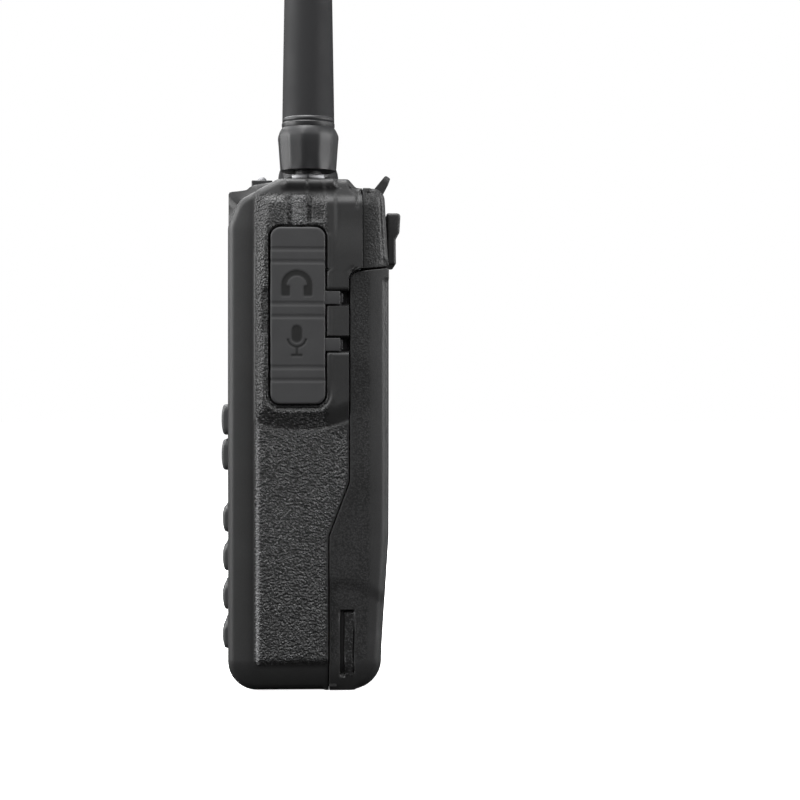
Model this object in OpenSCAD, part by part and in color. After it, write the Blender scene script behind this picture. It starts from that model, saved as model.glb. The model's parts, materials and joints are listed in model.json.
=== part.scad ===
// Handheld two-way radio. Front faces -Y, the knobs and jack cover side is +X,
// the push-to-talk side is -X. The origin is on the base.

/* [Body] */
// Half the width over the raised side islands
body_hw = 30.75; // [30.5:0.25:32]
// Half the width over the lower grip panels
grip_hw = 29.15; // [29:0.05:29.3]
// Depth from the middle to the front face
front_d = 20.9; // [20.7:0.1:21.2]
// Depth from the middle to the battery's back
back_d = 20.6; // [20.4:0.1:21]
// Height of the rear deck
deck_z = 129.6; // [129:0.1:129.8]
// Height of the raised saddle over the top
saddle_z = 132; // [131.8:0.1:132.2]
// Wall thickness of the housing
wall = 2.2; // [2:0.1:2.3]

/* [Battery] */
// Height of the battery's top edge at the back
battery_top = 108.4; // [108:0.1:108.6]
// Gap along the parting line
parting_gap = 0.25; // [0.2:0.05:0.35]
// Width of each charger guide slot
guide_w = 3.6; // [3:0.1:4]

/* [Keys] */
// Space between front key centres across the body
key_pitch_x = 13.6; // [13.2:0.1:14]
// Width of a front key
key_w = 11.2; // [10:0.1:11.6]
// Height of a number key
number_key_h = 6.9; // [6:0.1:7.2]
// Height of a menu key
menu_key_h = 8.0; // [7:0.1:8.1]
// Clearance around a key in its hole
key_gap = 0.25; // [0.2:0.05:0.4]

/* [Side controls] */
// Width of the push-to-talk button along the body's depth
ptt_w = 16; // [15:0.5:16.5]
// Height of the push-to-talk button
ptt_h = 27.4; // [26:0.2:27.6]
// Width of a side key
side_key_w = 13.6; // [13:0.2:14]
// Height of a side key
side_key_h = 9.8; // [9:0.1:9.8]

/* [Top controls] */
// Radius of a knob at its shoulder
knob_r = 8; // [7.5:0.1:8.2]
// Radius of a control shaft
shaft_r = 3; // [2.8:0.1:3.1]
// Radius of the antenna connector's stud
stud_r = 3.17; // [3:0.01:3.2]
// Radius of the antenna's foot
antenna_foot_r = 8.4; // [8:0.1:8.6]
// Radius of the antenna's tip
antenna_tip_r = 5.2; // [4.5:0.1:6]
// Height of the antenna's tip above the base
antenna_top = 282; // [200:1:320]

/* [Jack cover] */
// Width of the cover along the body's depth
cover_w = 14.1; // [13.8:0.1:14.2]
// Height of the cover
cover_h = 45.4; // [45:0.1:45.6]
// Radius of the larger accessory jack
jack_big_r = 1.8; // [1.77:0.01:1.85]
// Radius of the smaller accessory jack
jack_small_r = 1.3; // [1.27:0.01:1.35]

/* [Hidden] */

$fn = 48;
eps = 0.5;
inner_hw = grip_hw - wall;
front_in = -front_d + wall;
// parting line: depth below and above the step, and the step's two heights
part_low = 5.2;
part_high = 10.5;
step_low = 40;
step_high = 54;
shelf_z = 107.6;
rear_y = 13.8;
seal_z = 80;
seal_h = 49;
cover_z0 = battery_top + 0.6;
back_rise = 0.6;

key_rows = [69.9, 60.7, 43.9, 33.8, 23.65, 13.45];
flange_t = 0.8;
key_front_gap = 0.2;
key_proud = 1.8;
mat_front = -16.4;
mat_t = 0.8;

side_y = -2.8;
ptt_z = 100.8;
side_key_z = [75.65, 63.5];
island_y0 = -14.2;
island_y1 = 13.3;
island_z0 = 56;
jack_island_z0 = 70;
button_proud = 0.2;

cover_y = -2.85;
cover_z = 96.6;
cover_t = 1.4;
recess_x = body_hw - 1.55;
strap_z = [101.2, 89.2];
strap_h = 3.4;
hinge_y = 8.9;
hinge_x = body_hw - 0.75;
hinge_r = 0.7;
jack_z = [103, 92];
jack_len = 11;

volume_x = 20;
channel_x = 1;
control_y = -0.2;
antenna_x = -18.5;
shaft_gap = 0.05;
knob_z0 = 135.5;
knob_z1 = 148.6;
knob_skin = 2.2;
bush_r = 3.5;
bush_z1 = 134.6;
control_hw = 6;
control_z = [114, 124];
shaft_foot_z = 116.2;
nut_z = 132.1;
nut_r = 5;
nut_t = 1.6;
stud_top = 140.5;
antenna_z0 = 132.7;
lamp = [12.5, -12.4];
lamp_r = 1.25;
lamp_z = 132.8;
panel_z = 129;

window_w = 40;
window_h = 20;
window_z = 87;
speaker_z = 109;
speaker_r = 11.6;
slot_pitch = 2.6;
mic = [-16.5, 52.2];
hole_z0 = 120;

latch_w = 18;
latch_z = [111, 125];
stem_w = 10;
stem_z = [113.5, 117.5];
spring_y = 16.2;
spring_r = 0.75;
spring_h = 4.6;
loop_w = 13;
loop_h = 7.2;
loop_lean = 33;
clip_x = 17;
clip_z = 119;
clip_r = 1.25;
clip_len = 6;

guide_y = 9.8;
guide_z = [4, 21];
guide_depth = 1.3;
charge_x = [-9, 9];
charge_z = 20;
charge_r = 2.2;
contact_x = [-8, 0, 8];
contact_z = 12;
contact_r = 1.9;
pin_r = 1.05;
cell_hw = 25;

thread_r = 0.95;
head_r = 1.9;
head_t = 1;
boss_r = 2.8;
screw_gap = 0.05;
low_boss_r = 2.4;
low_screw_z = [10, 34];
low_screw_x = 23.6;
top_screw_x = 23;
top_screw_z = 112.5;
low_head_y = part_low - 1.4;
top_head_y = 17;

// point on a corner's arc, from the corner p with its neighbours a and b, fillet radius r
function unit(v) = v / norm(v);
function corner(a, p, b, r, n) =
  let (u = unit(a - p), v = unit(b - p))
  let (half = acos(u * v) / 2, mid = unit(u + v))
  let (centre = p + mid * r / sin(half))
  let (start = atan2(-mid[1], -mid[0]) , sweep = 90 - half)
  let (turn = u[0] * v[1] - u[1] * v[0] > 0 ? -1 : 1)
  r == 0 ? [p] : [for (i = [0 : n])
    centre + r * [cos(start - turn * sweep * (1 - 2 * i / n)),
                  sin(start - turn * sweep * (1 - 2 * i / n))]];
// outline with its corners rounded; each point is [x, y, radius]
function rounded(pts, n = 5) = [for (i = [0 : len(pts) - 1])
  let (a = pts[(i + len(pts) - 1) % len(pts)], p = pts[i], b = pts[(i + 1) % len(pts)])
  for (q = corner([a[0], a[1]], [p[0], p[1]], [b[0], b[1]], p[2], n)) q];

// an outline drawn in depth and height, extruded across the body
module across(x0, x1) {
  translate([x0, 0, 0]) rotate([90, 0, 90]) linear_extrude(x1 - x0) children();
}
// an outline drawn in width and height, extruded from y0 to y1
module inward(y0, y1) {
  translate([0, y1, 0]) rotate([90, 0, 0]) linear_extrude(y1 - y0) children();
}
module box(x0, x1, y0, y1, z0, z1) {
  translate([x0, y0, z0]) cube([x1 - x0, y1 - y0, z1 - z0]);
}
module rod_y(x, z, r, y0, y1) {
  translate([x, y0, z]) rotate([-90, 0, 0]) cylinder(r = r, h = y1 - y0);
}
module rod_x(y, z, r, x0, x1) {
  translate([x0, y, z]) rotate([0, 90, 0]) cylinder(r = r, h = x1 - x0);
}
module rod_z(x, y, r, z0, z1) {
  translate([x, y, z0]) cylinder(r = r, h = z1 - z0);
}
module plate(w, h, r) {
  polygon(rounded([[-w / 2, -h / 2, r], [w / 2, -h / 2, r], [w / 2, h / 2, r], [-w / 2, h / 2, r]]));
}
// a plate centred on (y, z) of a side, between x0 and x1
module side_plate(y, z, w, h, r, x0, x1) {
  across(x0, x1) translate([y, z]) plate(w, h, r);
}
// a plate centred on (x, z) of the front, between y0 and y1
module front_plate(x, z, w, h, r, y0, y1) {
  inward(y0, y1) translate([x, z]) plate(w, h, r);
}

module housing_outline() {
  polygon(rounded([[-front_d, 0, 7.5], [part_low - parting_gap, 0, 0.6],
    [part_low - parting_gap, step_low, 0], [part_high - parting_gap, step_high, 0],
    [part_high - parting_gap, shelf_z, 2], [rear_y - parting_gap, battery_top, 0],
    [rear_y - parting_gap, deck_z, 0], [10.2, saddle_z, 0], [-8, saddle_z, 2],
    [-18.2, 126.4, 3], [-front_d, 120.5, 3]]));
}
module cavity_outline() {
  polygon([[front_in, 8.5], [-13.5, wall], [part_high, wall], [part_high + 8, 60],
    [part_high + 8, 126], [9, 126.4], [-8, 128.2], [-15.8, 124.6], [front_in, 119]]);
}
module side_island(z0) {
  translate([0, 0, z0]) linear_extrude(126.5 - z0)
    polygon([[grip_hw - 1, island_y0], [grip_hw, island_y0], [body_hw, island_y0 + 3.6],
      [body_hw, island_y1], [grip_hw - 1, island_y1]]);
}
module front_key_holes() {
  for (row = [0 : 5], column = [-1 : 1])
    front_plate(column * key_pitch_x, key_rows[row], key_w + 2 * key_gap,
      (row < 2 ? menu_key_h : number_key_h) + 2 * key_gap, 1.8, -front_d - eps, front_in + eps);
}
module front_housing() {
  color([0.13, 0.13, 0.14])
  difference() {
    union() {
      difference() {
        union() {
          across(-grip_hw, grip_hw) housing_outline();
          intersection() {
            union() {
              side_island(jack_island_z0);
              mirror([1, 0, 0]) side_island(island_z0);
            }
            across(-body_hw, body_hw) housing_outline();
          }
          box(-21.6, 21.6, -front_d, -15, 100, panel_z);
          box(lamp[0] - 3.5, lamp[0] + 3.5, lamp[1] - 2.7, lamp[1] + 2.8, hole_z0, lamp_z);
        }
        across(-inner_hw, inner_hw) cavity_outline();
      }
      for (side = [-1, 1]) {
        for (z = low_screw_z)
          rod_y(side * low_screw_x, z, low_boss_r, front_in - eps, part_low - parting_gap - 2.3);
        box(side > 0 ? 19.5 : -inner_hw - eps, side > 0 ? inner_hw + eps : -19.5,
          7.5, rear_y - parting_gap, top_screw_z - 3, top_screw_z + 3);
      }
    }
    front_key_holes();
    front_plate(0, window_z, window_w + 0.2, window_h + 0.2, 2, -front_d - eps, -front_d + 1);
    front_plate(0, window_z, window_w - 4, window_h - 4, 1, -front_d - eps, front_in + eps);
    for (i = [-3 : 3])
      front_plate(0, speaker_z + i * slot_pitch, 17 - abs(i) * 2, 1.2, 0.5, -front_d - eps,
        front_in + eps);
    rod_y(mic[0], mic[1], 0.7, -front_d - eps, front_in + eps);
    // push-to-talk and side key holes
    side_plate(side_y, ptt_z, ptt_w + 2 * key_gap, ptt_h + 2 * key_gap, 2,
      -body_hw - eps, -inner_hw + eps);
    for (z = side_key_z)
      side_plate(side_y, z, side_key_w + 2 * key_gap, side_key_h + 2 * key_gap, 1.8,
        -body_hw - eps, -inner_hw + eps);
    // recess for the accessory jack cover, with its two strap pockets
    side_plate(cover_y, cover_z, cover_w + 0.4, cover_h + 0.4, 2, recess_x, body_hw + eps);
    for (z = strap_z)
      box(recess_x, body_hw + eps, 0, hinge_y + 0.9, z - strap_h / 2 - 0.25, z + strap_h / 2 + 0.25);
    for (z = jack_z)
      rod_x(cover_y, z, 3.1, inner_hw - eps, recess_x + eps);
    // top deck holes
    for (x = [channel_x, volume_x])
      rod_z(x, control_y, bush_r + 0.1, hole_z0, saddle_z + eps);
    rod_z(antenna_x, control_y, 4.1, hole_z0, saddle_z + eps);
    rod_z(lamp[0], lamp[1], lamp_r + 0.1, hole_z0, lamp_z + 3);
    // screw holes
    for (side = [-1, 1]) {
      for (z = low_screw_z)
        rod_y(side * low_screw_x, z, thread_r + screw_gap, -14, part_low);
      rod_y(side * top_screw_x, top_screw_z, thread_r + screw_gap, 8.5, rear_y + eps);
    }
  }
}
module rear_cover() {
  color([0.14, 0.14, 0.15])
  difference() {
    union() {
      difference() {
        across(-grip_hw, grip_hw) polygon(rounded([[rear_y, cover_z0, 0.3],
          [20.5, cover_z0 + back_rise, 0.3], [19.4, 127.4, 3], [18, deck_z, 1], [rear_y, deck_z, 0]]));
        across(-inner_hw, inner_hw) polygon([[rear_y - eps, cover_z0 + wall],
          [18, cover_z0 + wall], [17, 126.4], [rear_y - eps, 126.4]]);
      }
      for (side = [-1, 1]) {
        rod_y(side * clip_x, clip_z, boss_r, rear_y, 19);
        rod_y(side * top_screw_x, top_screw_z, boss_r, rear_y, 19);
      }
    }
    for (side = [-1, 1]) {
      rod_y(side * clip_x, clip_z, clip_r, 19.8 - clip_len, 22);
      rod_y(side * top_screw_x, top_screw_z, thread_r + 0.15, rear_y - eps, 22);
      rod_y(side * top_screw_x, top_screw_z, head_r + 0.2, top_head_y, 22);
    }
    // slot that the latch's stem slides in
    box(-stem_w / 2 - 0.2, stem_w / 2 + 0.2, 15, 22, stem_z[0] - 0.2, stem_z[1] + 3.3);
  }
}
module chassis() {
  color([0.55, 0.56, 0.58])
  difference() {
    across(-inner_hw + 0.2, inner_hw - 0.2)
      polygon([[part_low - 2.3, wall + 1.2], [part_low - 0.3, wall + 1.2],
        [part_low - 0.3, step_low], [part_high - 0.3, step_high], [part_high - 0.3, shelf_z + 0.2],
        [rear_y - 0.2, battery_top + 0.1], [rear_y - 0.2, battery_top + 0.9],
        [part_high - 2.3, shelf_z + 0.6], [part_high - 2.3, step_high + 0.7],
        [part_low - 2.3, step_low + 0.7]]);
    for (side = [-1, 1], z = low_screw_z) {
      rod_y(side * low_screw_x, z, thread_r + 0.15, 0, 8);
      rod_y(side * low_screw_x, z, head_r + 0.2, low_head_y, 8);
    }
    for (x = contact_x)
      rod_y(x, contact_z, pin_r + screw_gap, 0, 8);
  }
}
module case_seal() {
  color([0.05, 0.05, 0.05])
  inward(7.4, 8) difference() {
    translate([0, seal_z]) square([2 * inner_hw - 1, seal_h], center = true);
    translate([0, seal_z]) square([2 * inner_hw - 4, seal_h - 3], center = true);
  }
}
module case_screws() {
  color([0.7, 0.7, 0.72])
  for (side = [-1, 1]) {
    for (z = low_screw_z) {
      rod_y(side * low_screw_x, z, thread_r, -8, low_head_y);
      rod_y(side * low_screw_x, z, head_r, low_head_y, low_head_y + head_t);
    }
    rod_y(side * top_screw_x, top_screw_z, thread_r, 9, top_head_y);
    rod_y(side * top_screw_x, top_screw_z, head_r, top_head_y, top_head_y + head_t);
  }
}
module strap_loop() {
  color([0.2, 0.2, 0.21])
  translate([0, 17.4, deck_z - 0.6]) rotate([-loop_lean, 0, 0]) difference() {
    intersection() {
      across(-loop_w / 2, loop_w / 2)
        polygon(rounded([[-1.7, -0.8, 0], [1.5, -0.8, 0], [0.8, loop_h, 0.7], [-0.8, loop_h, 0.7]]));
      inward(-3, 3) translate([0, loop_h / 2 - 0.4]) plate(loop_w, loop_h + 0.8, 1.6);
    }
    inward(-3, 3) translate([0, loop_h / 2]) plate(loop_w - 5, 3.4, 1.2);
  }
}
module battery_latch() {
  color([0.12, 0.12, 0.13]) {
    across(-latch_w / 2, latch_w / 2) polygon(rounded([[20.8, latch_z[0], 0],
      [23.2, latch_z[0], 0.7], [23.2, 118, 0], [24.3, 119.8, 0.3],
      [24.5, latch_z[1], 0.8], [20.8, latch_z[1], 0.4]]));
    box(-stem_w / 2, stem_w / 2, 15.6, 20.9, stem_z[0], stem_z[1]);
    box(-stem_w / 2 - 2, stem_w / 2 + 2, 14.6, 15.8, stem_z[0], stem_z[1]);
  }
}
module latch_spring() {
  color([0.75, 0.75, 0.76])
  difference() {
    rod_z(0, spring_y, spring_r, stem_z[1], stem_z[1] + spring_h);
    rod_z(0, spring_y, spring_r - 0.45, stem_z[1] - eps, stem_z[1] + spring_h + eps);
  }
}

module battery_outline() {
  polygon(rounded([[part_low, 0, 0.6], [18.4, 0, 8], [18.8, 12, 0], [back_d, 40, 6],
    [back_d, battery_top + back_rise, 0.6], [rear_y + 0.4, battery_top, 0], [part_high, shelf_z, 2],
    [part_high, step_high, 0], [part_low, step_low, 0]]));
}
module battery_lid_outline(gap) {
  polygon([[part_low - eps, 0.8 - gap], [part_low + 1.9, 0.8 - gap],
    [part_low + 1.9, step_low - 0.7], [part_high + 1.9, step_high - 0.7],
    [part_high + 1.9, shelf_z - 2.4 + gap], [part_high - eps, shelf_z - 2.4 + gap],
    [part_high - eps, step_high], [part_low - eps, step_low]]);
}
module battery_case() {
  color([0.12, 0.12, 0.13])
  difference() {
    across(-grip_hw + 0.15, grip_hw - 0.15) battery_outline();
    across(-inner_hw + 0.2, inner_hw - 0.2) polygon([[part_low - eps, 3.2], [15.2, 3.2],
      [16.4, 9], [18.3, 40], [18.4, 105.5], [part_high + 3.2, shelf_z - 3.2],
      [part_high - eps, shelf_z - 3.2], [part_high - eps, step_high], [part_low - eps, step_low]]);
    across(-inner_hw + 0.2, inner_hw - 0.2) battery_lid_outline(0);
    for (side = [-1, 1])
      translate([side * grip_hw, 0, 0])
        box(-guide_depth, guide_depth, guide_y - guide_w / 2, guide_y + guide_w / 2,
          guide_z[0], guide_z[1]);
    for (x = charge_x)
      rod_y(x, charge_z, charge_r + 0.1, 14, 22);
  }
}
module battery_cover() {
  color([0.16, 0.16, 0.17])
  difference() {
    intersection() {
      across(-inner_hw + 0.3, inner_hw - 0.3) battery_lid_outline(-0.1);
      across(-inner_hw, inner_hw) battery_outline();
    }
    for (x = contact_x)
      rod_y(x, contact_z, contact_r + 0.1, 0, 8);
  }
}
module battery_cells() {
  color([0.2, 0.35, 0.6]) {
    box(-cell_hw, cell_hw, 7.6, 15.6, 12, 38.5);
    box(-cell_hw, cell_hw, 12.8, 17.8, 56.5, 92);
  }
}
module battery_board() {
  color([0.1, 0.35, 0.2]) box(-22, 22, 14, 15.2, 93, 101);
}
module battery_contacts() {
  color([0.85, 0.7, 0.35])
  for (x = contact_x)
    rod_y(x, contact_z, contact_r, part_low + 0.1, part_low + 1.9);
}
module radio_contacts() {
  color([0.85, 0.7, 0.35])
  for (x = contact_x) {
    rod_y(x, contact_z, pin_r, part_low - 3.4, part_low);
    rod_y(x, contact_z, contact_r - 0.1, part_low - 4.4, part_low - 3.4);
  }
}
module charge_contacts() {
  color([0.85, 0.7, 0.35])
  for (x = charge_x)
    rod_y(x, charge_z, charge_r, 16.2, 18.7);
}

module display_window() {
  color([0.05, 0.06, 0.07])
  front_plate(0, window_z, window_w, window_h, 2, -front_d + 0.1, -front_d + 1);
}
module display_module() {
  color([0.25, 0.27, 0.26]) box(-18.5, 18.5, -18.2, -15.2, 77.5, 96.5);
}
module main_board() {
  color([0.08, 0.3, 0.18]) box(-20.5, 20.5, -15, -13.6, 5, 96);
}
module shield_can() {
  color([0.7, 0.7, 0.72]) box(-18, 18, -13.6, -10.4, 40, 72);
}
module keypad_mat() {
  color([0.3, 0.3, 0.32]) {
    box(-20.4, 20.4, mat_front, mat_front + mat_t, 8, 75.6);
    for (row = [0 : 5], column = [-1 : 1])
      rod_y(column * key_pitch_x, key_rows[row], 2.4, mat_front - 0.4, mat_front);
  }
}
module speaker() {
  color([0.22, 0.22, 0.24]) {
    rod_y(0, speaker_z, speaker_r, -17.6, -15);
    rod_y(0, speaker_z, speaker_r - 5, -15, -12.4);
  }
}
module speaker_mesh() {
  color([0.1, 0.1, 0.1]) rod_y(0, speaker_z, speaker_r - 1.8, -18.3, -18);
}
module microphone() {
  color([0.6, 0.6, 0.6]) rod_y(mic[0] - 0.7, mic[1], 2, -18.2, -16.6);
}

module control_body(x) {
  difference() {
    union() {
      box(x - control_hw, x + control_hw, control_y - control_hw, control_y + control_hw,
        control_z[0], control_z[1]);
      rod_z(x, control_y, bush_r, control_z[1], bush_z1);
    }
    rod_z(x, control_y, shaft_r + shaft_gap, shaft_foot_z - 0.2, bush_z1 + eps);
  }
}
module volume_control() {
  color([0.5, 0.5, 0.5]) control_body(volume_x);
}
module channel_switch() {
  color([0.5, 0.5, 0.5]) control_body(channel_x);
}
module control_shaft(x) {
  rod_z(x, control_y, shaft_r, shaft_foot_z, knob_z1 - knob_skin);
}
module volume_shaft() {
  color([0.75, 0.75, 0.75]) control_shaft(volume_x);
}
module channel_shaft() {
  color([0.75, 0.75, 0.75]) control_shaft(channel_x);
}
module shaft_nuts() {
  color([0.75, 0.7, 0.6])
  for (x = [channel_x, volume_x])
    difference() {
      translate([x, control_y, nut_z]) cylinder(r = nut_r, h = nut_t, $fn = 6);
      rod_z(x, control_y, bush_r + 0.02, nut_z - eps, nut_z + nut_t + eps);
    }
}
module knob(x) {
  difference() {
    translate([x, control_y, 0]) rotate_extrude() polygon([[0, knob_z0], [knob_r - 0.55, knob_z0],
      [knob_r, knob_z1 - 5.5], [knob_r - 0.4, knob_z1 - 3.4], [knob_r - 1.2, knob_z1 - 2.8],
      [knob_r - 1.1, knob_z1 - 1.6], [knob_r - 1.5, knob_z1 - 1.4], [knob_r - 1.5, knob_z1 - 0.4],
      [knob_r - 2, knob_z1], [0, knob_z1]]);
    rod_z(x, control_y, shaft_r + 0.02, knob_z0 - eps, knob_z1 - knob_skin);
  }
}
module volume_knob() {
  color([0.13, 0.13, 0.14]) knob(volume_x);
}
module channel_knob() {
  color([0.13, 0.13, 0.14]) knob(channel_x);
}
module antenna() {
  color([0.3, 0.3, 0.31])
  difference() {
    translate([antenna_x, control_y, 0]) rotate_extrude() polygon([[0, antenna_z0],
      [antenna_foot_r - 0.3, antenna_z0], [antenna_foot_r, antenna_z0 + 0.7],
      [antenna_foot_r, antenna_z0 + 4.9], [antenna_foot_r - 0.6, antenna_z0 + 6.7],
      [antenna_foot_r - 0.8, antenna_z0 + 7.9], [antenna_foot_r - 1.2, 160],
      [antenna_tip_r, antenna_top - 3], [antenna_tip_r - 1.6, antenna_top - 0.6],
      [0, antenna_top]]);
    rod_z(antenna_x, control_y, stud_r + 0.1, antenna_z0 - eps, stud_top + 1.5);
  }
}
module antenna_connector() {
  color([0.8, 0.7, 0.4]) {
    rod_z(antenna_x, control_y, stud_r, control_z[1], stud_top);
    rod_z(antenna_x, control_y, control_hw, control_z[1] - 5, control_z[1]);
  }
}
module antenna_seal() {
  color([0.06, 0.06, 0.06])
  difference() {
    rod_z(antenna_x, control_y, antenna_foot_r - 1.4, saddle_z, antenna_z0 - 0.1);
    rod_z(antenna_x, control_y, 4, saddle_z - eps, antenna_z0 + eps);
  }
}
module indicator_lens() {
  color([0.6, 0.6, 0.6]) {
    rod_z(lamp[0], lamp[1], lamp_r, 124, lamp_z);
    translate([lamp[0], lamp[1], lamp_z]) sphere(r = lamp_r);
  }
}

module ptt_button() {
  color([0.2, 0.2, 0.21]) {
    side_plate(side_y, ptt_z, ptt_w, ptt_h, 2, -body_hw - button_proud, -inner_hw + key_front_gap);
    side_plate(side_y, ptt_z, ptt_w + 1.6, ptt_h + 0.8, 1, -inner_hw + key_front_gap,
      -inner_hw + 1);
    for (row = [-1.57, -0.57, 0.43], column = [-1 : 1])
      translate([-body_hw - button_proud + 0.6, side_y + column * 4.5, ptt_z + row * 5.3])
        sphere(r = 1.2);
  }
}
module side_key(z, bars) {
  color([0.2, 0.2, 0.21]) {
    side_plate(side_y, z, side_key_w, side_key_h, 1.7, -body_hw - button_proud,
      -inner_hw + key_front_gap);
    side_plate(side_y, z, side_key_w + 1.6, side_key_h + 0.8, 1, -inner_hw + key_front_gap,
      -inner_hw + 1);
    for (i = [0 : bars - 1])
      side_plate(side_y, z + (i - (bars - 1) / 2) * 3.4, 6.8, 1.9, 0.6,
        -body_hw - button_proud - 0.3, -body_hw);
  }
}
module side_key_upper() { side_key(side_key_z[0], 1); }
module side_key_lower() { side_key(side_key_z[1], 2); }
module side_board() {
  color([0.08, 0.3, 0.18]) box(-22, -21, -9, 4, 58.5, 113);
}
module side_switches() {
  color([0.6, 0.6, 0.6])
  for (z = [ptt_z, side_key_z[0], side_key_z[1]]) {
    box(-23.6, -22, side_y - 2.6, side_y + 2.6, z - 2.6, z + 2.6);
    rod_x(side_y, z, 1.2, -24.7, -23.6);
  }
}
module jack_cover() {
  color([0.27, 0.27, 0.27]) {
    side_plate(cover_y, cover_z, cover_w, cover_h, 1.8, recess_x + 0.1, recess_x + 0.1 + cover_t);
    for (z = strap_z) {
      box(hinge_x - 0.5, hinge_x + 0.6, 3, hinge_y, z - strap_h / 2, z + strap_h / 2);
      rod_z(hinge_x, hinge_y, hinge_r, z - strap_h / 2, z + strap_h / 2);
    }
  }
}
module accessory_sockets() {
  color([0.18, 0.18, 0.18])
  difference() {
    union() {
      box(17, inner_hw - 0.2, -8, 3, 86, 109);
      for (z = jack_z)
        rod_x(cover_y, z, 3, 20, recess_x - 0.1);
    }
    rod_x(cover_y, jack_z[0], jack_small_r, recess_x - 0.1 - jack_len, recess_x + eps);
    rod_x(cover_y, jack_z[1], jack_big_r, recess_x - 0.1 - jack_len, recess_x + eps);
  }
}

module front_key(row, column) {
  h = row < 2 ? menu_key_h : number_key_h;
  proud = row < 2 ? key_proud + 0.3 : key_proud;
  x = column * key_pitch_x;
  z = key_rows[row];
  color([0.2, 0.2, 0.21]) {
    front_plate(x, z, key_w, h, 1.6, -front_d - proud, front_in + key_front_gap);
    front_plate(x, z, key_w + 1.2, h + 1.2, 0.6, front_in + key_front_gap,
      front_in + key_front_gap + flange_t);
  }
}
module menu_key_1() { front_key(0, -1); }
module menu_key_2() { front_key(0, 0); }
module menu_key_3() { front_key(0, 1); }
module menu_key_4() { front_key(1, -1); }
module menu_key_5() { front_key(1, 0); }
module menu_key_6() { front_key(1, 1); }
module number_key_1() { front_key(2, -1); }
module number_key_2() { front_key(2, 0); }
module number_key_3() { front_key(2, 1); }
module number_key_4() { front_key(3, -1); }
module number_key_5() { front_key(3, 0); }
module number_key_6() { front_key(3, 1); }
module number_key_7() { front_key(4, -1); }
module number_key_8() { front_key(4, 0); }
module number_key_9() { front_key(4, 1); }
module number_key_star() { front_key(5, -1); }
module number_key_0() { front_key(5, 0); }
module number_key_hash() { front_key(5, 1); }

front_housing();
rear_cover();
chassis();
case_seal();
case_screws();
strap_loop();
battery_latch();
latch_spring();
battery_case();
battery_cover();
battery_cells();
battery_board();
battery_contacts();
charge_contacts();
radio_contacts();
display_window();
display_module();
main_board();
shield_can();
keypad_mat();
speaker();
speaker_mesh();
microphone();
volume_control();
channel_switch();
volume_shaft();
channel_shaft();
shaft_nuts();
volume_knob();
channel_knob();
antenna();
antenna_connector();
antenna_seal();
indicator_lens();
ptt_button();
side_key_upper();
side_key_lower();
side_board();
side_switches();
jack_cover();
accessory_sockets();
menu_key_1();
menu_key_2();
menu_key_3();
menu_key_4();
menu_key_5();
menu_key_6();
number_key_1();
number_key_2();
number_key_3();
number_key_4();
number_key_5();
number_key_6();
number_key_7();
number_key_8();
number_key_9();
number_key_star();
number_key_0();
number_key_hash();
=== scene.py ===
import json
import math
import bpy
import bmesh
import numpy as np
from mathutils import Vector, Matrix


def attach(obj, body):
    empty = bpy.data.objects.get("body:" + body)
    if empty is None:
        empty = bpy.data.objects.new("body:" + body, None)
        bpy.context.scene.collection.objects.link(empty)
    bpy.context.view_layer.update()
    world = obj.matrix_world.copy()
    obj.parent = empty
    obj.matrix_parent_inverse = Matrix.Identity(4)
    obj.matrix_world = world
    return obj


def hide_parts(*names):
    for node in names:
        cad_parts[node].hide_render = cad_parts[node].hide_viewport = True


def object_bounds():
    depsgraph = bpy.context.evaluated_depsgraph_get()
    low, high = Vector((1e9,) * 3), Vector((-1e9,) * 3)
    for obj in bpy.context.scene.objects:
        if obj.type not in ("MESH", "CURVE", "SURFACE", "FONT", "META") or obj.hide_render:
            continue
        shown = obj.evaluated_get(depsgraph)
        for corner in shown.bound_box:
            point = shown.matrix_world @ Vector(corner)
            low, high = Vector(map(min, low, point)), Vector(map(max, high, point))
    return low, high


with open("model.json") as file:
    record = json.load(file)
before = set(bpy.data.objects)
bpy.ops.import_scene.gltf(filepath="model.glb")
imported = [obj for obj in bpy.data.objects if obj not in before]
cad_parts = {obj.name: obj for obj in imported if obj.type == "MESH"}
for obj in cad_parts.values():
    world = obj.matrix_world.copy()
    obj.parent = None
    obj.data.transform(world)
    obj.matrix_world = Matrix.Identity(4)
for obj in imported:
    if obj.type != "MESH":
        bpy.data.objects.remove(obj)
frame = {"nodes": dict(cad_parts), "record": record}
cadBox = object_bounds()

mm = 0.001
scene = bpy.context.scene
nodes = frame["nodes"]
record = frame["record"]
slotOf = {s["node"]: s["material_slot"] for s in record["subparts"]}


# helpers on numbers, all in millimetres
def clip01(t):
    return np.clip(t, 0.0, 1.0)


def ramp(t, a, b):
    # soft step from 0 at a to 1 at b
    u = clip01((t - a) / (b - a))
    return u * u * (3 - 2 * u)


def slope(t, a, b):
    # straighter step, for the flat flanks of a moulding
    u = clip01((t - a) / (b - a))
    return 0.35 * u * u * (3 - 2 * u) + 0.65 * u


def roundRect(u, v, w, h, r):
    # distance to a rounded rectangle at the origin, negative inside
    qu, qv = np.abs(u) - w / 2 + r, np.abs(v) - h / 2 + r
    return np.hypot(np.maximum(qu, 0), np.maximum(qv, 0)) + np.minimum(np.maximum(qu, qv), 0) - r


def capsule(u, v, a, b, r):
    # distance to a thick line from a to b
    du, dv = b[0] - a[0], b[1] - a[1]
    t = clip01(((u - a[0]) * du + (v - a[1]) * dv) / (du * du + dv * dv))
    return np.hypot(u - a[0] - t * du, v - a[1] - t * dv) - r


def bump(t, centre, width):
    return np.exp(-(((t - centre) / width) ** 2))


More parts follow.
